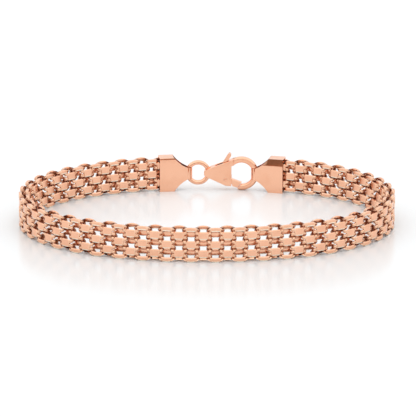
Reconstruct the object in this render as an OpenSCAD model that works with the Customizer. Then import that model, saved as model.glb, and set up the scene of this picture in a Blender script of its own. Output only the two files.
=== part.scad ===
// A fastened bismarck chain bracelet of rose gold, standing on its edge as an oval loop.
// Four rows of flat-wire links lie side by side. The links of a row lean in and out in turn
// and hook through each other. Side by side links are soldered where their bars meet, so
// each column of four links is one zigzag piece, and the bars' meeting places are filed flat.
// X runs to the right, Y away from the viewer, Z up. The clasp is at the back.

/* [Loop] */
// Width of the oval, measured along the middle of the band's thickness
loop_w = 66.7; // [66:0.1:68]
// Depth of the oval, measured the same way
loop_d = 48.6; // [47.6:0.2:50]
// How far the oval bulges towards its corners beyond an ellipse, as a share of its size
loop_fullness = 0.009; // [0.006:0.001:0.012]
// How far the clasp stands to the right of the middle of the back
clasp_shift = 3.6; // [2.4:0.1:4.4]

/* [Band] */
// Rows of links across the band
rows = 4; // [4]
// Columns of links round the loop, from end cap to end cap
columns = 81; // [81]
// Distance between rows
row_pitch = 1.65; // [1.64:0.005:1.66]
// Thickness of the band between its filed faces
band_t = 1.86; // [1.82:0.02:1.9]
// Height of the band between its filed edges
band_h = 6.35; // [6.3:0.05:6.4]
// How far the links are pushed along the loop, so that they lie tauter in front
slack_shift = 2; // [1.8:0.05:2.1]

/* [Link] */
// Outer width of one link, across its two bars
link_w = 2.1; // [2.09:0.01:2.11]
// Thickness of the wire in the link's plane
wire_t = 0.4; // [0.38:0.01:0.4]
// Width of the wire across the link's plane
wire_w = 0.46; // [0.45:0.01:0.47]
// Lean of a link from upright
link_tilt = 50; // [49:0.5:51]
// Free play where two links hook together, at the tautest place
link_play = 0.26; // [0.25:0.01:0.28]

/* [End cap] */
// Length of an end cap from its mouth to the tip of its tab
cap_l = 6.35; // [6.25:0.05:6.45]
// Height of the end cap
cap_h = 6.5; // [6.45:0.05:6.6]
// Depth of the end cap at its mouth
cap_t = 2.8; // [2.7:0.05:2.9]
// Length of the straight box that holds the band's end
cap_box_l = 2.8; // [2.7:0.1:2.9]
// Thickness of the sheet that the cap is folded from
cap_wall = 0.18; // [0.16:0.01:0.2]
// Height of the tab at the narrow end
tab_h = 2.1; // [2:0.05:2.2]
// Depth of the tab at the narrow end
tab_t = 2; // [1.9:0.05:2.1]
// Radius of the hollow curve between box and tab
cap_curve_r = 6; // [5:0.5:8]
// Radius of the rod inside the box that holds the last links
rod_r = 0.18; // [0.15:0.01:0.18]

/* [Jump ring] */
// Radius of the ring to the middle of its wire
ring_r = 1.95; // [1.93:0.01:1.97]
// Radius of the ring's wire
ring_wire_r = 0.43; // [0.41:0.01:0.44]

/* [Clasp] */
// Distance from the tail's hole to the middle of the hook
hook_x = 6.3; // [6.26:0.02:6.34]
// Outer radius of the hook
hook_outer_r = 3.2; // [3.15:0.05:3.25]
// Inner radius of the hook
hook_inner_r = 2.1; // [2.05:0.05:2.15]
// Depth of the hook
hook_t = 1.2; // [1.1:0.05:1.2]
// Depth of the clasp's body
clasp_t = 2; // [1.9:0.05:2.1]
// Depth of the lever
lever_t = 1; // [0.9:0.05:1]
// Radius of the hinge pin
pin_r = 0.3; // [0.28:0.01:0.32]
// Turn of the lever from closed, which opens the gate inwards
lever_open = 0; // [0:1:25]

/* [Hidden] */
$fn = 64;
// Small gap between pieces that lie against each other
fit_gap = 0.05;
// Gap round a ring's section where it passes through a fold
ring_gap = 0.07;
// Overshoot of cutting shapes
over = 0.5;
rose = [0.93, 0.68, 0.55];
rose_deep = [0.88, 0.6, 0.47];

// Height of the band's middle: the end caps stand on the ground
mid_z = cap_h / 2;

// Distance from the cap's tip to the middle of the wire that its tab holds
tab_reach = 0.88;
// Corner that is cut off the tab's tip
tab_cut = 0.2;
// Straight length of the tab beyond the hollow curves, and the step where they leave the box
tab_l = 0.8;
curve_step = 0.05;
// How far the open part behind the curves laps into the box
fold_lap = 0.1;
// Degrees between the points of a folded tip, and number of sides of the hollow curves' circle
fold_step = 15;
curve_sides = 128;
// Distance from the cap's mouth to the middle of the held wire
cap_span = cap_l - tab_reach;
// Distance from the clasp's tail hole to the middle of the hook's far side
hook_mid_r = (hook_outer_r + hook_inner_r) / 2;
hook_w = hook_outer_r - hook_inner_r;
// Bevel along the hook's edges
hook_cut = 0.25;
clasp_span = hook_x + hook_mid_r;
// Length of loop between the two mouths
clasp_stretch = 2 * cap_span + 2 * ring_r + clasp_span;
// How far the middle of the end columns lies inside the mouths
column_inset = 0.4;

// The oval by angle: 0 is the middle of the front, 90 the right end, 180 the middle of the back
arc_steps = 720;
function oval_point(a) = [
    loop_w / 2 * (sin(a) + loop_fullness * sin(3 * a)) / (1 - loop_fullness),
    -loop_d / 2 * (cos(a) - loop_fullness * cos(3 * a)) / (1 - loop_fullness)
];
function oval_heading(a) = atan2(
    loop_d * (sin(a) - 3 * loop_fullness * sin(3 * a)),
    loop_w * (cos(a) + 3 * loop_fullness * cos(3 * a))
);
function oval_step(i) = norm(oval_point((i + 1) * 360 / arc_steps) - oval_point(i * 360 / arc_steps));
// Arc length from the front's middle, against the oval's angle
arc_table = [
    for (i = 0, s = 0; i <= arc_steps; s = s + oval_step(i), i = i + 1)
        [s, i * 360 / arc_steps]
];
loop_l = arc_table[arc_steps][0];
function oval_angle(s) = lookup(((s % loop_l) + loop_l) % loop_l, arc_table);
function loop_point(s) = oval_point(oval_angle(s));

// Arc lengths of the mouths and of the places where the clasp's pieces hook together
mouth_right_s = loop_l / 2 - clasp_shift - clasp_stretch / 2;
hook_s = mouth_right_s + cap_span;
tail_s = hook_s + clasp_span;
ring_s = tail_s + 2 * ring_r;
mouth_left_s = ring_s + cap_span;

// Arc lengths of the columns, counted from the left cap round the front to the right cap
first_s = mouth_left_s - loop_l - column_inset;
last_s = mouth_right_s + column_inset;
col_pitch = (last_s - first_s) / (columns - 1);
function even_s(i) = first_s + i * col_pitch;
// The push along the loop fades out at both ends
function push(s) = slack_shift * sin(360 * (s - (first_s + last_s) / 2) / loop_l);
push_end = push(last_s);
function column_s(i) = even_s(i) + push(even_s(i)) - push_end * (2 * i / (columns - 1) - 1);

// The chain stands on the ground, and rises to the caps' middle over its last stretch
rise_l = 20;
function from_end(s) = min(s - first_s, last_s - s);
function band_z(s) = band_h / 2 + (cap_h - band_h) / 2 * max(0, 1 - from_end(s) / rise_l);

// The columns that reach into a cap are filed lower, to fit between its flanges
squeezed_columns = 2;
squeezed_h = cap_h - 2 * cap_wall - 2 * fit_gap;
function is_squeezed(i) = min(i, columns - 1 - i) < squeezed_columns;
function column_h(i) = is_squeezed(i) ? min(band_h, squeezed_h) : band_h;

// Widest step between neighbouring columns, and the link length that spans it
taut_pitch = max([for (i = [1:columns - 1]) column_s(i) - column_s(i - 1)]);
link_inner_l = taut_pitch + link_play;
link_l = link_inner_l + 2 * wire_t;
// Distance of the rod from the mouth: clear inside the last link's end
rod_gap = 0.1;
rod_x = column_inset + link_inner_l / 2 - rod_r - rod_gap;

// Bars lie at the borders of the rows: outside and inside in turn, from column to column
function is_outer(column, border) = (column + border) % 2 == 0;
function border_z(border) = (rows / 2 - border) * row_pitch;

// Hinge of the clasp's lever, measured from the tail's hole like all of the clasp
hinge_x = 3.3;
hinge_z = -1.1;
hub_r = 0.75;
tail_hole_r = 0.57;
slot_t = lever_t + 2 * fit_gap;
// Gap between pin and cheeks, and between pin and lever
pin_gap = 0.01;
lever_clear = 0.04;
// Depth of cutting shapes, more than that of any piece of the clasp
cut_t = 4;
// Angles at which the hook begins, below and behind the seam, and through which it runs
hook_from = -110;
hook_turn = 250;
// Seam where gate and hook meet: a point on it, its slope and its gap
seam = [6.05, -2.3];
seam_slope = 54;
seam_gap = 0.08;
// What is cut away at the seam, from and to, along the seam and square to it
hook_cut_from = [-2.5, 0];
hook_cut_to = [0.9, 3];
gate_cut_from = [-5, seam_gap - 5];
gate_cut_to = [5, seam_gap];

// Outlines of the clasp's sheets as [X, Z] corners
body_corners = [
    [-0.75, 0.42], [0, 0.85], [4.85, 2.8], [4.7, 1.6], [4.4, 1.45],
    [4.4, -2.4], [3.4, -2.35], [0, -0.85], [-0.75, -0.42]
];
lever_room_corners = [
    [3.8, 4], [3.8, -0.4], [5, -0.4], [5, -2.2], [3.3, -2.05],
    [2.4, -1.5], [1.1, 1.7], [1.1, 4]
];
gate_corners = [
    [3.6, -0.6], [4.3, -1.05], [6.85, -1.95], [6.85, -2.95],
    [5.8, -2.85], [4.6, -2.5], [4.5, -2.05], [3.2, -1.8]
];
arm_corners = [
    [2.75, -1], [2.8, 2.2], [3.75, 3.75], [3.95, 3.9],
    [4.2, 3.85], [4.35, 3.6], [4.3, 3.3], [3.62, 2.3], [3.6, -0.8]
];

// Stands a column on the oval at an arc length, X along the band and -Y outwards
module along(s) {
    a = oval_angle(s);
    p = oval_point(a);
    translate([p.x, p.y, band_z(s)])
        rotate([0, 0, oval_heading(a)])
            children();
}

// Lays its children from one arc length towards another, as a straight piece hooked at both
module between(s_from, s_to) {
    p = loop_point(s_from);
    q = loop_point(s_to);
    slip = (norm(q - p) - abs(s_to - s_from)) / 2;
    translate([p.x, p.y, mid_z])
        rotate([0, 0, atan2(q.y - p.y, q.x - p.x)])
            translate([slip, 0, 0])
                children();
}

// Upright sheet: an outline drawn in X and Z, with a depth centred on Y
module sheet(depth) {
    rotate([90, 0, 0])
        linear_extrude(depth, center = true)
            children();
}

// Outline of a link: straight bars, and ends that follow one circle
module link_outline(length, width) {
    intersection() {
        square([length + over, width], center = true);
        rotate(90)
            circle(d = length);
    }
}

// One link of flat wire. Its upper bar leans outwards or inwards
module link(upper_bar_outer) {
    lean = upper_bar_outer ? link_tilt : -link_tilt;
    rotate([lean, 0, 0])
        sheet(wire_w)
            difference() {
                link_outline(link_l, link_w);
                link_outline(link_inner_l, link_w - 2 * wire_t);
            }
}

// Four links soldered side by side and filed flat on both faces and both edges
module column(i) {
    intersection() {
        for (row = [0:rows - 1])
            translate([0, 0, border_z(row) - row_pitch / 2])
                link(is_outer(i, row));
        cube([link_l + over, band_t, column_h(i)], center = true);
    }
}

module link_band() {
    color(rose)
        for (i = [0:columns - 1])
            along(column_s(i))
                column(i);
}

// Half circle of points for a folded tip
function fold_points(x, r) = [
    for (a = [fold_step - 90:fold_step:90 - fold_step])
        [x + r * cos(a), r * sin(a)]
];

// The cap seen from above, less an inset on every side
module cap_plan(inset) {
    tip_r = tab_t / 2 - inset;
    tip_x = cap_l - tab_t / 2;
    polygon(concat(
        [[0, cap_t / 2 - inset], [0, inset - cap_t / 2], [cap_box_l, inset - cap_t / 2]],
        [[tip_x, -tip_r]],
        fold_points(tip_x, tip_r),
        [[tip_x, tip_r], [cap_box_l, cap_t / 2 - inset]]
    ));
}

// The cap seen from the front: a box, two hollow curves and a tab
module cap_front() {
    tab_x = cap_l - tab_l;
    from = [cap_box_l, cap_h / 2 - curve_step];
    to = [tab_x, tab_h / 2];
    chord = norm(to - from);
    across = [from.y - to.y, to.x - from.x] / chord;
    middle = (from + to) / 2 + across * sqrt(pow(cap_curve_r, 2) - pow(chord / 2, 2));
    difference() {
        translate([0, -cap_h / 2])
            square([tab_x, cap_h]);
        for (side = [-1, 1])
            translate([middle.x, side * middle.y])
                circle(cap_curve_r, $fn = curve_sides);
    }
    polygon([
        [cap_box_l, tab_h / 2], [cap_l - tab_cut, tab_h / 2], [cap_l, tab_h / 2 - tab_cut],
        [cap_l, tab_cut - tab_h / 2], [cap_l - tab_cut, -tab_h / 2], [cap_box_l, -tab_h / 2]
    ]);
}

// Section of a ring of flat wire with bevelled edges
module bevelled_section(section_w, section_t) {
    half_w = section_w / 2;
    half_t = section_t / 2;
    polygon([
        [-half_w, half_t - hook_cut], [hook_cut - half_w, half_t],
        [half_w - hook_cut, half_t], [half_w, half_t - hook_cut],
        [half_w, hook_cut - half_t], [half_w - hook_cut, -half_t],
        [hook_cut - half_w, -half_t], [-half_w, hook_cut - half_t]
    ]);
}

// Room in a fold for the upright ring that it holds
module ring_room(middle_x, mid_r, section_w, section_t) {
    translate([middle_x, 0, 0])
        rotate([90, 0, 0])
            rotate_extrude()
                translate([mid_r, 0])
                    bevelled_section(section_w + 2 * ring_gap, section_t + 2 * ring_gap);
}

// Folded sheet with top and bottom flanges round the box, and a rod through the last links
module end_cap() {
    color(rose_deep) {
        difference() {
            intersection() {
                sheet(cap_t + over)
                    cap_front();
                linear_extrude(cap_h + over, center = true)
                    cap_plan(0);
            }
            intersection() {
                linear_extrude(cap_h + 2 * over, center = true)
                    cap_plan(cap_wall);
                union() {
                    cube([2 * cap_l + over, cap_t, cap_h - 2 * cap_wall], center = true);
                    translate([cap_box_l - fold_lap, -cap_t / 2, -cap_h])
                        cube([cap_l, cap_t, 2 * cap_h]);
                }
            }
            translate([-over, 0, 0])
                cube([2 * over, cap_t - 2 * cap_wall, cap_h - 2 * cap_wall], center = true);
        }
        translate([rod_x, 0, 0])
            cylinder(r = rod_r, h = cap_h - cap_wall, center = true);
    }
}

module end_cap_left() {
    difference() {
        between(mouth_left_s, ring_s)
            end_cap();
        between(ring_s, tail_s)
            ring_room(ring_r, ring_r, 2 * ring_wire_r, 2 * ring_wire_r);
    }
}

module end_cap_right() {
    difference() {
        between(mouth_right_s, hook_s)
            end_cap();
        between(tail_s, hook_s)
            ring_room(hook_x, hook_mid_r, hook_w, hook_t);
    }
}

module jump_ring() {
    color(rose)
        between(ring_s, tail_s)
            translate([ring_r, 0, 0])
                rotate([90, 0, 0])
                    rotate_extrude()
                        translate([ring_r, 0])
                            circle(ring_wire_r);
}

// Cutting block in the seam's own frame: X up along the seam, Z towards the gate
module seam_block(from, to) {
    translate([seam.x, -cut_t / 2, seam.y])
        rotate([0, -seam_slope, 0])
            translate([from.x, 0, from.y])
                cube([to.x - from.x, cut_t, to.y - from.y]);
}

// Round bar through the hinge, from front to back
module hinge_bar(radius, length) {
    translate([hinge_x, 0, hinge_z])
        rotate([90, 0, 0])
            cylinder(r = radius, h = length, center = true);
}

// The hook begins behind the gate's seam and ends inside the body
module hook() {
    difference() {
        translate([hook_x, 0, 0])
            rotate([90, 0, 0])
                rotate([0, 0, hook_from])
                    rotate_extrude(angle = hook_turn)
                        translate([hook_mid_r, 0])
                            bevelled_section(hook_w, hook_t);
        seam_block(hook_cut_from, hook_cut_to);
    }
}

// Room for the lever between the cheeks, over its whole turn
module lever_room() {
    sheet(slot_t)
        polygon(lever_room_corners);
}

module clasp_body() {
    color(rose_deep)
        between(tail_s, hook_s) {
            difference() {
                sheet(clasp_t)
                    polygon(body_corners);
                lever_room();
                cylinder(r = tail_hole_r, h = cut_t, center = true);
                hinge_bar(pin_r + pin_gap, cut_t);
            }
            difference() {
                hook();
                lever_room();
            }
        }
}

module hinge_pin() {
    color(rose)
        between(tail_s, hook_s)
            hinge_bar(pin_r, clasp_t);
}

// The hub with its gate, which runs to the hook, and the arm with its thumb tab
module lever_shape() {
    hinge_bar(hub_r, lever_t);
    sheet(lever_t)
        polygon(gate_corners);
    sheet(lever_t)
        polygon(arm_corners);
}

// The lever turns on the pin, inside the body's slot
module clasp_lever() {
    color(rose)
        between(tail_s, hook_s)
            translate([hinge_x, 0, hinge_z])
                rotate([0, -lever_open, 0])
                    translate([-hinge_x, 0, -hinge_z])
                        difference() {
                            lever_shape();
                            hinge_bar(pin_r + lever_clear, cut_t);
                            seam_block(gate_cut_from, gate_cut_to);
                        }
}

link_band();
end_cap_left();
end_cap_right();
jump_ring();
clasp_body();
clasp_lever();
hinge_pin();
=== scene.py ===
import math
from bisect import bisect_right

import bmesh
import bpy
from mathutils import Matrix, Vector


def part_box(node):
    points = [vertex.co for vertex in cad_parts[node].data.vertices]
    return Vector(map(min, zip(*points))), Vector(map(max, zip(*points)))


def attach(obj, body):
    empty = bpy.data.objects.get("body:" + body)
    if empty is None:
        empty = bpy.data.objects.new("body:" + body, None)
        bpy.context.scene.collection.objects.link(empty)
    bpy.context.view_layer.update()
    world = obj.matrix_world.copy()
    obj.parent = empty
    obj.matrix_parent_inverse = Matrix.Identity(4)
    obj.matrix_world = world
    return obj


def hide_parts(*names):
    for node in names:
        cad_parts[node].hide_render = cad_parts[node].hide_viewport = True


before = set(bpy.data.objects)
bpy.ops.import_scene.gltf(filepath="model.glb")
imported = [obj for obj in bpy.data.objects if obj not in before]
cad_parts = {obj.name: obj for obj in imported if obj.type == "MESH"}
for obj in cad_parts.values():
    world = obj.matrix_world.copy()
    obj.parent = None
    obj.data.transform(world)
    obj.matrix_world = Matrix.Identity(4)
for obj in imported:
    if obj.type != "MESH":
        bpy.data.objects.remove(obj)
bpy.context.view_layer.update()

MM = 0.001

# The loop, as the part's source lays it out, in millimetres
LOOP_W = 66.7
LOOP_D = 48.6
LOOP_FULLNESS = 0.009
CLASP_SHIFT = 3.6
CAP_L = 6.35
CAP_H = 6.5
TAB_REACH = 0.88
RING_R = 1.95
HOOK_X = 6.3
HOOK_OUTER_R = 3.2
HOOK_INNER_R = 2.1
COLUMNS = 81
ROWS = 4
ROW_PITCH = 1.65
BAND_H = 6.35
COLUMN_INSET = 0.4
SLACK_SHIFT = 2.0
RISE_L = 20.0
# Steps in which the oval's length is measured
ARC_STEPS = 720

# One link of flat wire, in millimetres: sizes across its bars, along them and of the wire
LINK_W = 2.14
LINK_L = 3.18
WIRE_T = 0.42
WIRE_W = 0.52
LINK_TILT = math.radians(50)
# The link's outline, one quarter of it: along and across, as shares of its half sizes
LINK_QUARTER = ((0.52, 1.0), (0.88, 0.78), (1.0, 0.28))
WIRE_BEVEL = 0.14
# The wire's edges are rounded where they lie farther out than this share of the link's size
OUTER_SHARE = 0.45

# The filed flats over two soldered bars, and over the single bars at the edges, in millimetres
FLAT_H = 1.3
EDGE_FLAT_H = 0.72
FLAT_T = 0.3
# Distances of the flats' faces from the band's middle plane, and of the links' bars, which
# stop under the flats so that they don't show through
FLAT_FACE = 0.88
RING_FACE = 0.82
# Height of the sloped strip along a flat's edges, and its depth as a share of that height
FLAT_BEVEL = 0.19
FLAT_SLOPE = 0.45
# The strip along the top is this much narrower than the one below
FLAT_TOP_TRIM = 0.1
# Steps along a flat, and its half lengths: straight part, waist between two bars, bar's bend
FLAT_STEPS = 4
FLAT_STRAIGHT = 0.7
FLAT_WAIST = 0.86
FLAT_BEND = 1.06
# How far a flat's ends lean back into the weave, at a bar's bend and at the waist
BEND_BACK = 0.15
WAIST_BACK = BEND_BACK / 3
# How far a double flat's corners draw in towards the joint between its two bars
BEND_IN = 0.09
# How far the ends of an edge's flat curve in from the band's edge, and its quarter points
EDGE_BEND_IN = 0.24
EDGE_ARCH = 0.05
# How far the band's edge is rounded down from a link's middle to a bar's bend
EDGE_ROUND = 0.24
# A face of a flat counts as its front or as sloped when its normal leans this far that way,
# and a point counts as on its front within this much more than the bend
FACING = 0.9
SLOPED = 0.4
FACE_SLACK = 0.01
# The solder that fills the groove between two bars on their inner side, in millimetres, and
# its bevel as a share of its depth
SOLDER_L = 1.75
SOLDER_H = 0.92
SOLDER_FACE = 0.37
SOLDER_BEVEL = 0.9
# Columns at each end that are filed lower to fit the end caps, and their height
SQUEEZED_COLUMNS = 2
SQUEEZED_H = 6.04

# The name of the mask of painted shade, which darkens the weave's crevices
PAINTED_SHADE_MASK = "painted_shade"
# Distances from the band's middle plane between which painted shade darkens the links, and by
# how much
CREVICE_FROM = 0.36
CREVICE_TO = 0.05
HOOKED_SHADE = 0.45
# The same for the gaps between the rows of flats, which take the painted shade wholly, and the
# distances from the rows' borders between which such a gap begins
GAP_FROM = 0.68
GAP_TO = 0.42
GAP_START = 0.4
GAP_END = 0.48
# The painted shade is lighter towards the band's outer side: by how much, and between which
# depths
OUTER_SHADE_EASING = 0.35
SHADE_EASING_FROM = 0.25
SHADE_EASING_TO = -0.25

# The tops of the caps' faces lean back: the heights where they bend, half the bend's height,
# the angle, and how deep behind its foremost point a cap still counts as face
LEFT_LEAN_FROM = 6.18
RIGHT_LEAN_FROM = 5.2
FOLD = 0.08
CAP_LEAN = math.radians(9)
LEAN_DEPTH = 0.3
# How far the edges of the polished pieces are rounded, in millimetres, and in how many steps
CAP_ROUNDING = (0.07, 2)
RING_ROUNDING = (0.02, 1)
SHELL_ROUNDING = (0.09, 2)
GATE_ROUNDING = (0.06, 2)
RIVET_ROUNDING = (0.01, 1)
# Edges this near the hinge pin's axis stay sharp
HINGE_CLEAR = 0.45
# Edges that turn by more than this are rounded: on the links, and on the polished pieces
LINK_SHARP = math.radians(60)
CAST_SHARP = math.radians(28)
# Points of a solid that are one, faces that are one plane, and the slack of a cut
SAME_POINT = 0.002
SAME_PLANE = math.radians(1)
CUT_SLACK = 0.001
# How much a face's size counts when the normals are evened out, of 100
NORMAL_WEIGHT = 60

# Colours of the metal: cast and filed, the links' wire, and a pale colour painted on the lips of
# the flats as a highlight
ROSE = (0.94, 0.52, 0.345)
PALE_ROSE = (0.93, 0.57, 0.385)
LIP_HIGHLIGHT_ROSE = (1.0, 0.9, 0.74)
# Colours that multiply the metal's: painted shade in the crevices, and a tint where the polish
# is clouded
PAINTED_SHADE_COLOR = (0.22, 0.08, 0.032)
CLOUD_TINT = (0.93, 0.87, 0.83)
# Clouding: its scale per metre, its detail, the noise between which it sets in, and how much
# it adds to the roughness
CLOUD_SCALE = 320.0
CLOUD_DETAIL = 4.0
CLOUD_FROM = 0.45
CLOUD_TO = 0.75
CLOUD_HAZE = 0.09
# Hairlines, drawn out along the band: their scale per metre, detail and depth in metres
HAIR_SCALE = (1400.0, 1400.0, 9000.0)
HAIR_DETAIL = 3.0
HAIR_DEPTH = 0.00001

# The table, in metres
FLOOR_HALF = 6.0
FLOOR_COLOR = (0.785, 0.772, 0.76)
FLOOR_ROUGHNESS = 0.2

# The studio by the sine of the height above the table, on the camera's side and beyond the
# table, and where in Y the one turns into the other
SKY_NEAR = (
    (0.0, (0.22, 0.14, 0.1)),
    (0.1, (0.22, 0.14, 0.1)),
    (0.2, (0.95, 0.95, 0.95)),
    (0.62, (1.35, 1.45, 1.5)),
    (1.0, (1.3, 1.35, 1.4)),
)
SKY_FAR = (
    (0.0, (0.95, 0.95, 0.95)),
    (0.5, (1.15, 1.18, 1.2)),
    (1.0, (1.3, 1.35, 1.4)),
)
SKY_TURN_FROM = -0.3
SKY_TURN_TO = 0.2
SKY_STRENGTH = 1.0
# The soft light above the table, in metres and watts
LIGHT_PLACE = (0.0, 0.1, 0.9)
LIGHT_SIZE = 0.9
LIGHT_POWER = 0.9

# The camera of the photograph: a long lens, a little above the table and left of the middle
CAMERA_DISTANCE = 0.640
CAMERA_ELEVATION = math.radians(15.5)
CAMERA_TURN = math.radians(-2.0)
CAMERA_ROLL = math.radians(0.2)
CAMERA_AIM = Vector((0.0, 0.0, 3.2 * MM))
CAMERA_LENS = 304.0
CAMERA_SENSOR = 36.0
CAMERA_NEAR = 0.01
# The frame is moved by this many of its pixels
FRAME_PIXELS = 416
CAMERA_SHIFT = (1.0 / FRAME_PIXELS, -1.1 / FRAME_PIXELS)


# The oval


def oval_point(angle):
    """The point of the oval at an angle from the middle of the front, in radians."""
    across = math.sin(angle) + LOOP_FULLNESS * math.sin(3 * angle)
    along = math.cos(angle) - LOOP_FULLNESS * math.cos(3 * angle)
    return Vector((LOOP_W / 2 * across, -LOOP_D / 2 * along)) / (1 - LOOP_FULLNESS)


def oval_heading(angle):
    """The direction in which the oval runs at an angle, turned from +X in radians."""
    return math.atan2(
        LOOP_D * (math.sin(angle) - 3 * LOOP_FULLNESS * math.sin(3 * angle)),
        LOOP_W * (math.cos(angle) + 3 * LOOP_FULLNESS * math.cos(3 * angle)),
    )


def arc_lengths():
    """Arc length from the front's middle at each step of the oval's angle."""
    lengths = [0.0]
    for i in range(ARC_STEPS):
        step = oval_point((i + 1) * math.tau / ARC_STEPS) - oval_point(i * math.tau / ARC_STEPS)
        lengths.append(lengths[-1] + step.length)
    return lengths


ARC = arc_lengths()
LOOP_L = ARC[-1]


def oval_angle(s):
    """The oval's angle at an arc length from the front's middle."""
    s %= LOOP_L
    i = min(bisect_right(ARC, s) - 1, ARC_STEPS - 1)
    part = (s - ARC[i]) / (ARC[i + 1] - ARC[i])
    return (i + part) * math.tau / ARC_STEPS


CAP_SPAN = CAP_L - TAB_REACH
CLASP_SPAN = HOOK_X + (HOOK_OUTER_R + HOOK_INNER_R) / 2
CLASP_STRETCH = 2 * CAP_SPAN + 2 * RING_R + CLASP_SPAN
MOUTH_RIGHT_S = LOOP_L / 2 - CLASP_SHIFT - CLASP_STRETCH / 2
MOUTH_LEFT_S = MOUTH_RIGHT_S + CLASP_STRETCH
FIRST_S = MOUTH_LEFT_S - LOOP_L - COLUMN_INSET
LAST_S = MOUTH_RIGHT_S + COLUMN_INSET


def slack_push(s):
    """How far a column is pushed along the loop from its even place."""
    return SLACK_SHIFT * math.sin(math.tau * (s - (FIRST_S + LAST_S) / 2) / LOOP_L)


def column_s(i):
    """Arc length of a column's middle: the links lie tauter in front."""
    even = FIRST_S + i * (LAST_S - FIRST_S) / (COLUMNS - 1)
    return even + slack_push(even) - slack_push(LAST_S) * (2 * i / (COLUMNS - 1) - 1)


def band_z(s):
    """Height of the band's middle, which rises to the end caps' middle."""
    from_end = min(s - FIRST_S, LAST_S - s)
    return BAND_H / 2 + (CAP_H - BAND_H) / 2 * max(0.0, 1 - from_end / RISE_L)


def column_place(i):
    """Turns and moves a column from the origin to its place in the loop."""
    s = column_s(i)
    angle = oval_angle(s)
    point = oval_point(angle)
    place = Matrix.Translation((point.x, point.y, band_z(s)))
    return place @ Matrix.Rotation(oval_heading(angle), 4, "Z")


# Mesh helpers


def finish_mesh(bm, name):
    mesh = bpy.data.meshes.new(name)
    bm.to_mesh(mesh)
    bm.free()
    return mesh


def make_piece(mesh, name, materials):
    piece = bpy.data.objects.new(name, mesh)
    bpy.context.scene.collection.objects.link(piece)
    for material in materials:
        mesh.materials.append(material)
    return piece


def weigh_normals(piece):
    """Keeps flat faces flat and lets the bevels carry the turn of the light."""
    weighted = piece.modifiers.new("Even normals", "WEIGHTED_NORMAL")
    weighted.weight = NORMAL_WEIGHT
    weighted.keep_sharp = True


def thicken(bm, depth):
    """Extrudes all faces along +Y."""
    swept = bmesh.ops.extrude_face_region(bm, geom=bm.faces[:])
    moved = [item for item in swept["geom"] if isinstance(item, bmesh.types.BMVert)]
    bmesh.ops.translate(bm, vec=(0, depth, 0), verts=moved)
    bmesh.ops.recalc_face_normals(bm, faces=bm.faces[:])


def any_edge(middle):
    return True


def bevel_sharp_edges(bm, offset, segments, least_angle, keep=any_edge, clamp=True):
    """Bevels the edges that turn by more than an angle, and returns the new faces.

    Edges whose middle keep turns down are left as they are, and marked sharp.
    """
    turned = [
        edge for edge in bm.edges
        if edge.is_manifold and edge.calc_face_angle(0.0) > least_angle
    ]
    for edge in turned:
        edge.smooth = keep((edge.verts[0].co + edge.verts[1].co) / 2)
    made = bmesh.ops.bevel(
        bm, geom=[edge for edge in turned if edge.smooth], offset=offset,
        segments=segments, profile=0.5, affect="EDGES", clamp_overlap=clamp, material=-1,
    )
    return made["faces"]


def smooth_all(bm):
    for face in bm.faces:
        face.smooth = True


def ramp(value, start, end):
    """0 at start, 1 at end and even between."""
    return max(0.0, min(1.0, (value - start) / (end - start)))


# Materials


def noise_node(nodes, scale, detail):
    noise = nodes.new("ShaderNodeTexNoise")
    noise.inputs["Scale"].default_value = scale
    noise.inputs["Detail"].default_value = detail
    return noise


def multiply_node(nodes, color):
    """A mix that multiplies its colour A by a given one, as far as its factor says."""
    mix = nodes.new("ShaderNodeMix")
    mix.data_type = "RGBA"
    mix.blend_type = "MULTIPLY"
    mix.inputs["B"].default_value = (*color, 1.0)
    return mix


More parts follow.
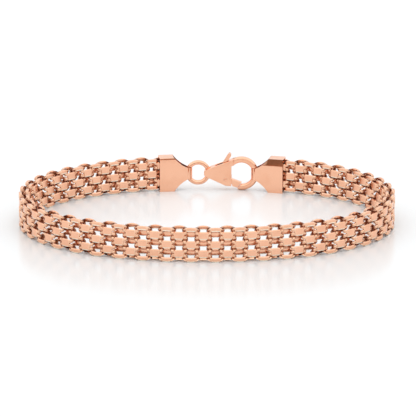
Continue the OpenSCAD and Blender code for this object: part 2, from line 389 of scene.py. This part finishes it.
def polish_and_shade_group():
    """Colour, roughness and normal of hand-polished metal, clouded, with painted shade in the
    crevices.
    """
    group = bpy.data.node_groups.new("Polish and painted shade", "ShaderNodeTree")
    for name, in_out, kind in (
        ("Metal", "INPUT", "Color"),
        ("Least Roughness", "INPUT", "Float"),
        ("Hairlines", "INPUT", "Float"),
        ("Base Color", "OUTPUT", "Color"),
        ("Roughness", "OUTPUT", "Float"),
        ("Normal", "OUTPUT", "Vector"),
    ):
        group.interface.new_socket(name, in_out=in_out, socket_type="NodeSocket" + kind)
    nodes = group.nodes
    links = group.links
    given = nodes.new("NodeGroupInput")
    result = nodes.new("NodeGroupOutput")
    place = nodes.new("ShaderNodeTexCoord")

    clouds = noise_node(nodes, CLOUD_SCALE, CLOUD_DETAIL)
    links.new(place.outputs["Object"], clouds.inputs["Vector"])

    stretch = nodes.new("ShaderNodeMapping")
    stretch.inputs["Scale"].default_value = HAIR_SCALE
    links.new(place.outputs["Object"], stretch.inputs["Vector"])
    hairs = noise_node(nodes, 1.0, HAIR_DETAIL)
    links.new(stretch.outputs["Vector"], hairs.inputs["Vector"])

    tint = multiply_node(nodes, CLOUD_TINT)
    shade = nodes.new("ShaderNodeMapRange")
    shade.inputs["From Min"].default_value = CLOUD_FROM
    shade.inputs["From Max"].default_value = CLOUD_TO
    links.new(clouds.outputs["Fac"], shade.inputs["Value"])
    links.new(shade.outputs["Result"], tint.inputs["Factor"])
    links.new(given.outputs["Metal"], tint.inputs["A"])
    # The mask darkens the metal with painted shade
    painted_shade = nodes.new("ShaderNodeAttribute")
    painted_shade.attribute_name = PAINTED_SHADE_MASK
    shade_paint = multiply_node(nodes, PAINTED_SHADE_COLOR)
    links.new(painted_shade.outputs["Fac"], shade_paint.inputs["Factor"])
    links.new(tint.outputs["Result"], shade_paint.inputs["A"])
    links.new(shade_paint.outputs["Result"], result.inputs["Base Color"])

    haze = nodes.new("ShaderNodeMath")
    haze.operation = "MULTIPLY_ADD"
    haze.inputs[1].default_value = CLOUD_HAZE
    links.new(clouds.outputs["Fac"], haze.inputs[0])
    links.new(given.outputs["Least Roughness"], haze.inputs[2])
    links.new(haze.outputs["Value"], result.inputs["Roughness"])

    bump = nodes.new("ShaderNodeBump")
    bump.inputs["Distance"].default_value = HAIR_DEPTH
    links.new(given.outputs["Hairlines"], bump.inputs["Strength"])
    links.new(hairs.outputs["Fac"], bump.inputs["Height"])
    links.new(bump.outputs["Normal"], result.inputs["Normal"])
    return group


POLISH_AND_SHADE = polish_and_shade_group()


def rose_gold(name, metal, roughness, hairlines):
    material = bpy.data.materials.new(name)
    material.use_nodes = True
    nodes = material.node_tree.nodes
    links = material.node_tree.links
    shader = nodes["Principled BSDF"]
    shader.inputs["Metallic"].default_value = 1.0
    polish = nodes.new("ShaderNodeGroup")
    polish.node_tree = POLISH_AND_SHADE
    polish.inputs["Metal"].default_value = (*metal, 1.0)
    polish.inputs["Least Roughness"].default_value = roughness
    polish.inputs["Hairlines"].default_value = hairlines
    for output in ("Base Color", "Roughness", "Normal"):
        links.new(polish.outputs[output], shader.inputs[output])
    return material


wire_gold = rose_gold("Rose gold wire", PALE_ROSE, roughness=0.1, hairlines=0.1)
flat_gold = rose_gold("Filed rose gold", ROSE, roughness=0.12, hairlines=0.2)
# Its pale colour is a painted highlight on the flats' lips
lip_highlight_gold = rose_gold("Rose gold with painted highlight", LIP_HIGHLIGHT_ROSE, roughness=0.1, hairlines=0.1)
cast_gold = rose_gold("Polished rose gold", ROSE, roughness=0.06, hairlines=0.08)
# The band's materials, and their places in its list
BAND_GOLDS = [wire_gold, flat_gold, lip_highlight_gold]
FLAT = BAND_GOLDS.index(flat_gold)
LIP = BAND_GOLDS.index(lip_highlight_gold)


# The chain


def on_outer_side(middle):
    """Tells a link's outer edges from those of its hollow."""
    return Vector((middle.x / LINK_L, middle.z / LINK_W)).length > OUTER_SHARE


def link_ring():
    """One link lying in the XZ plane: a ring of flat wire with rounded ends."""
    bm = bmesh.new()
    outline = []
    for along_sign, across_sign in ((1, 1), (-1, 1), (-1, -1), (1, -1)):
        quarter = LINK_QUARTER if along_sign != across_sign else LINK_QUARTER[::-1]
        for along, across in quarter:
            x = along_sign * along * LINK_L / 2
            z = across_sign * across * LINK_W / 2
            outline.append(bm.verts.new((x, -WIRE_W / 2, z)))
    plate = bm.faces.new(outline)
    bm.normal_update()
    bmesh.ops.inset_region(
        bm, faces=[plate], thickness=WIRE_T, use_boundary=True, use_even_offset=True,
    )
    bmesh.ops.delete(bm, geom=[plate], context="FACES")
    thicken(bm, WIRE_W)
    bevel_sharp_edges(bm, WIRE_BEVEL, 1, LINK_SHARP, keep=on_outer_side)
    smooth_all(bm)
    return finish_mesh(bm, "link ring")


def filed_flat(height, bends, bend_in, arch):
    """A filed flat facing -Y.

    For each row of its points from below, bends says which way the row curves. bend_in and
    arch are how far the row's ends and its quarter points move that way. The flat is made
    deeper than it is, so that its bevels come out flatter once it is scaled down.
    """
    rows = len(bends) - 1
    bm = bmesh.new()
    bmesh.ops.create_grid(bm, x_segments=FLAT_STEPS, y_segments=rows, size=0.5)
    bmesh.ops.rotate(bm, matrix=Matrix.Rotation(math.pi / 2, 3, "X"), verts=bm.verts[:])
    for vert in bm.verts:
        side = round(vert.co.x * FLAT_STEPS)
        bend = bends[round((vert.co.z + 0.5) * rows)]
        reach = (0.0, FLAT_STRAIGHT, FLAT_BEND if bend else FLAT_WAIST)[abs(side)]
        vert.co.x = math.copysign(reach, side)
        vert.co.z *= height
        vert.co.z += bend * (0.0, arch, bend_in)[abs(side)]
        if abs(side) == FLAT_STEPS / 2:
            vert.co.y += (BEND_BACK if bend else WAIST_BACK) / FLAT_SLOPE
    thicken(bm, FLAT_T / FLAT_SLOPE)
    smooth_all(bm)
    for face in bevel_sharp_edges(bm, FLAT_BEVEL, 1, LINK_SHARP):
        face.smooth = False
    fronts = [face for face in bm.faces if face.normal.y < -FACING]
    # The lower sloped strips along the straight part get the pale colour of a painted highlight
    for face in bm.faces:
        if face.normal.z < -SLOPED and abs(face.calc_center_median().x) < FLAT_STRAIGHT:
            face.material_index = LIP
        elif face in fronts or face.normal.z > SLOPED:
            face.material_index = FLAT
    face_top = max(vert.co.z for face in fronts for vert in face.verts)
    face_back = min(vert.co.y for vert in bm.verts) + BEND_BACK / FLAT_SLOPE + FACE_SLACK
    for vert in bm.verts:
        if vert.co.y < face_back and vert.co.z > face_top - FLAT_BEVEL:
            vert.co.z += FLAT_TOP_TRIM
    bmesh.ops.scale(bm, vec=(1, FLAT_SLOPE, 1), verts=bm.verts[:])
    bmesh.ops.translate(bm, vec=(0, -FLAT_FACE, 0), verts=bm.verts[:])
    return finish_mesh(bm, "filed flat")


def solder_fill():
    """The solder between two bars that meet at -Y, seen from the other side."""
    bm = bmesh.new()
    bmesh.ops.create_cube(bm, size=1.0)
    depth = FLAT_FACE - FLAT_T - SOLDER_FACE
    bmesh.ops.scale(bm, vec=(SOLDER_L, depth, SOLDER_H), verts=bm.verts[:])
    bmesh.ops.translate(bm, vec=(0, -SOLDER_FACE - depth / 2, 0), verts=bm.verts[:])
    bevel_sharp_edges(bm, depth * SOLDER_BEVEL, 1, LINK_SHARP)
    smooth_all(bm)
    for face in bm.faces:
        face.material_index = FLAT
    return finish_mesh(bm, "solder")


def add_copy(bm, mesh, place):
    """Adds a copy of a mesh, moved to its place."""
    copy = mesh.copy()
    copy.transform(place)
    bm.from_mesh(copy)
    bpy.data.meshes.remove(copy)


def column_mesh(parity, height):
    """Four links soldered side by side, with the flats filed on both faces and both edges."""
    ring = link_ring()
    double = filed_flat(FLAT_H, (-1, 0, 1), -BEND_IN, 0.0)
    lower_edge = filed_flat(EDGE_FLAT_H, (1, 1), EDGE_BEND_IN, EDGE_ARCH)
    upper_edge = filed_flat(EDGE_FLAT_H, (-1, -1), EDGE_BEND_IN, EDGE_ARCH)
    solder = solder_fill()
    bm = bmesh.new()
    for row in range(ROWS):
        lean = LINK_TILT if (parity + row) % 2 == 0 else -LINK_TILT
        middle = (ROWS / 2 - row - 0.5) * ROW_PITCH
        stand = Matrix.Translation((0, 0, middle)) @ Matrix.Rotation(lean, 4, "X")
        add_copy(bm, ring, stand)
    for vert in bm.verts:
        vert.co.y = max(-RING_FACE, min(RING_FACE, vert.co.y))
    for border in range(ROWS + 1):
        turn = Matrix.Rotation(0.0 if (parity + border) % 2 == 0 else math.pi, 4, "Z")
        at_edge = {0: upper_edge, ROWS: lower_edge}.get(border)
        if at_edge:
            middle = math.copysign((height - EDGE_FLAT_H) / 2, ROWS / 2 - border)
            add_copy(bm, at_edge, Matrix.Translation((0, 0, middle)) @ turn)
        else:
            stand = Matrix.Translation((0, 0, (ROWS / 2 - border) * ROW_PITCH)) @ turn
            add_copy(bm, double, stand)
            add_copy(bm, solder, stand)
    for vert in bm.verts:
        top = height / 2 - EDGE_ROUND * (vert.co.x / FLAT_BEND) ** 2
        vert.co.z = max(-top, min(top, vert.co.z))
    for mesh in (ring, double, lower_edge, upper_edge, solder):
        bpy.data.meshes.remove(mesh)
    return finish_mesh(bm, "column")


def crevice_depth(place):
    """How much painted shade a point of a column gets: 1 in the gaps between the rows of flats.
    """
    off_border = abs(place.z / ROW_PITCH - round(place.z / ROW_PITCH)) * ROW_PITCH
    hooked = HOOKED_SHADE * ramp(abs(place.y), CREVICE_FROM, CREVICE_TO)
    gap = ramp(abs(place.y), GAP_FROM, GAP_TO) * ramp(off_border, GAP_START, GAP_END)
    # The painted shade is eased towards the band's outer side
    eased = OUTER_SHADE_EASING * ramp(place.y, SHADE_EASING_FROM, SHADE_EASING_TO)
    return max(hooked, gap) * (1 - eased)


def chain_band():
    """Every column of links, hooked through its neighbours."""
    free = [column_mesh(parity, BAND_H) for parity in (0, 1)]
    squeezed = [column_mesh(parity, SQUEEZED_H) for parity in (0, 1)]
    painted_shades = []
    bm = bmesh.new()
    for i in range(COLUMNS):
        in_cap = min(i, COLUMNS - 1 - i) < SQUEEZED_COLUMNS
        column = (squeezed if in_cap else free)[i % 2]
        add_copy(bm, column, column_place(i))
        painted_shades.extend(crevice_depth(vert.co) for vert in column.vertices)
    bmesh.ops.scale(bm, vec=(MM, MM, MM), verts=bm.verts[:])
    piece = make_piece(finish_mesh(bm, "chain band"), "chain_band", BAND_GOLDS)
    # The painted shade of every point goes into the band's mask
    mask = piece.data.attributes.new(PAINTED_SHADE_MASK, "FLOAT", "POINT")
    mask.data.foreach_set("value", painted_shades)
    weigh_normals(piece)
    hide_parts("link_band")
    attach(piece, "bracelet")


# Caps, ring and clasp


def lean_top_back(bm, s, start):
    """Leans the top of the face of the cap at s back from a height, where its sheet folds."""
    toward = oval_heading(oval_angle(s))
    back = Vector((math.sin(toward), -math.cos(toward), 0.0))
    front = min(vert.co @ back for vert in bm.verts)
    for height in (start - FOLD, start + FOLD):
        bmesh.ops.bisect_plane(
            bm, geom=bm.verts[:] + bm.edges[:] + bm.faces[:], dist=CUT_SLACK * MM,
            plane_co=(0, 0, height * MM), plane_no=(0, 0, 1),
        )
    for vert in bm.verts:
        rise = vert.co.z - start * MM
        if rise > 0 and vert.co @ back - front < LEAN_DEPTH * MM:
            vert.co += back * rise * math.tan(CAP_LEAN)


def off_hinge(middle):
    """Turns down the edges of the hinge pin's bore, which stay sharp."""
    pin_low, pin_high = (Vector(corner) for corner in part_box("hinge_pin"))
    off = middle - (pin_low + pin_high) / 2
    return math.hypot(off.x, off.z) > HINGE_CLEAR * MM


def polished_copy(node, name, body, rounding, lean=None, keep=any_edge, clamp=False):
    """A copy of a solid with its edges rounded by polishing.

    lean is where a cap sits in the loop, and the height from which its face leans back.
    """
    bm = bmesh.new()
    bm.from_mesh(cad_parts[node].data)
    bmesh.ops.remove_doubles(bm, verts=bm.verts[:], dist=SAME_POINT * MM)
    bmesh.ops.dissolve_limit(
        bm, angle_limit=SAME_PLANE, verts=bm.verts[:], edges=bm.edges[:],
    )
    if lean:
        lean_top_back(bm, *lean)
    width, steps = rounding
    bevel_sharp_edges(bm, width * MM, steps, CAST_SHARP, keep, clamp)
    smooth_all(bm)
    piece = make_piece(finish_mesh(bm, name), name, [cast_gold])
    weigh_normals(piece)
    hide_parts(node)
    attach(piece, body)


# Studio


def pale_floor():
    bm = bmesh.new()
    bmesh.ops.create_grid(bm, x_segments=1, y_segments=1, size=FLOOR_HALF)
    mesh = finish_mesh(bm, "floor")
    material = bpy.data.materials.new("Pale table")
    material.use_nodes = True
    shader = material.node_tree.nodes["Principled BSDF"]
    shader.inputs["Base Color"].default_value = (*FLOOR_COLOR, 1.0)
    shader.inputs["Roughness"].default_value = FLOOR_ROUGHNESS
    floor = make_piece(mesh, "floor", [material])


def sky_ramp(nodes, stops):
    """A colour ramp with a stop at each height. A new ramp has two stops already."""
    node = nodes.new("ShaderNodeValToRGB")
    elements = node.color_ramp.elements
    for place, (height, color) in enumerate(stops):
        if place > 1:
            elements.new(height)
        elements[place].position = height
        elements[place].color = (*color, 1.0)
    return node


def studio_sky():
    """Bright all round, with a narrow dark horizon behind the camera, which shades the metal."""
    world = bpy.data.worlds.new("Studio")
    world.use_nodes = True
    bpy.context.scene.world = world
    nodes = world.node_tree.nodes
    links = world.node_tree.links
    place = nodes.new("ShaderNodeTexCoord")
    split = nodes.new("ShaderNodeSeparateXYZ")
    near = sky_ramp(nodes, SKY_NEAR)
    far = sky_ramp(nodes, SKY_FAR)
    side = nodes.new("ShaderNodeMapRange")
    side.interpolation_type = "SMOOTHSTEP"
    side.inputs["From Min"].default_value = SKY_TURN_FROM
    side.inputs["From Max"].default_value = SKY_TURN_TO
    both = nodes.new("ShaderNodeMix")
    both.data_type = "RGBA"
    links.new(place.outputs["Generated"], split.inputs["Vector"])
    links.new(split.outputs["Z"], near.inputs["Fac"])
    links.new(split.outputs["Z"], far.inputs["Fac"])
    links.new(split.outputs["Y"], side.inputs["Value"])
    links.new(side.outputs["Result"], both.inputs["Factor"])
    links.new(near.outputs["Color"], both.inputs["A"])
    links.new(far.outputs["Color"], both.inputs["B"])
    links.new(both.outputs["Result"], nodes["Background"].inputs["Color"])
    nodes["Background"].inputs["Strength"].default_value = SKY_STRENGTH


def overhead_light():
    """A wide soft light that shines on the bracelet, and doesn't show in its reflections."""
    light = bpy.data.lights.new("Overhead", "AREA")
    light.shape = "SQUARE"
    light.size = LIGHT_SIZE
    light.energy = LIGHT_POWER
    lamp = bpy.data.objects.new("Overhead", light)
    bpy.context.scene.collection.objects.link(lamp)
    lamp.location = LIGHT_PLACE
    lamp.visible_glossy = False
    aim = Vector((0, 0, 0)) - lamp.location
    lamp.rotation_euler = aim.to_track_quat("-Z", "Y").to_euler()


def place_camera():
    camera = bpy.data.cameras.new("Camera")
    camera.lens = CAMERA_LENS
    camera.sensor_width = CAMERA_SENSOR
    camera.clip_start = CAMERA_NEAR
    camera.shift_x, camera.shift_y = CAMERA_SHIFT
    eye = bpy.data.objects.new("Camera", camera)
    bpy.context.scene.collection.objects.link(eye)
    back = Vector((0, -math.cos(CAMERA_ELEVATION), math.sin(CAMERA_ELEVATION)))
    back.rotate(Matrix.Rotation(CAMERA_TURN, 3, "Z"))
    eye.location = CAMERA_AIM + back * CAMERA_DISTANCE
    look = (-back).to_track_quat("-Z", "Y").to_matrix() @ Matrix.Rotation(CAMERA_ROLL, 3, "Z")
    eye.rotation_euler = look.to_euler()
    bpy.context.scene.camera = eye


chain_band()
polished_copy(
    "end_cap_left", "cap_left", "bracelet", CAP_ROUNDING,
    lean=(MOUTH_LEFT_S - CAP_L / 2, LEFT_LEAN_FROM), clamp=True,
)
polished_copy(
    "end_cap_right", "cap_right", "bracelet", CAP_ROUNDING,
    lean=(MOUTH_RIGHT_S + CAP_L / 2, RIGHT_LEAN_FROM), clamp=True,
)
polished_copy("jump_ring", "ring_between", "bracelet", RING_ROUNDING)
polished_copy("clasp_body", "clasp_shell", "bracelet", SHELL_ROUNDING, keep=off_hinge)
polished_copy("clasp_lever", "clasp_gate", "lever", GATE_ROUNDING)
polished_copy("hinge_pin", "hinge_rivet", "bracelet", RIVET_ROUNDING)
pale_floor()
studio_sky()
overhead_light()
place_camera()
bpy.context.scene.view_settings.view_transform = "Standard"
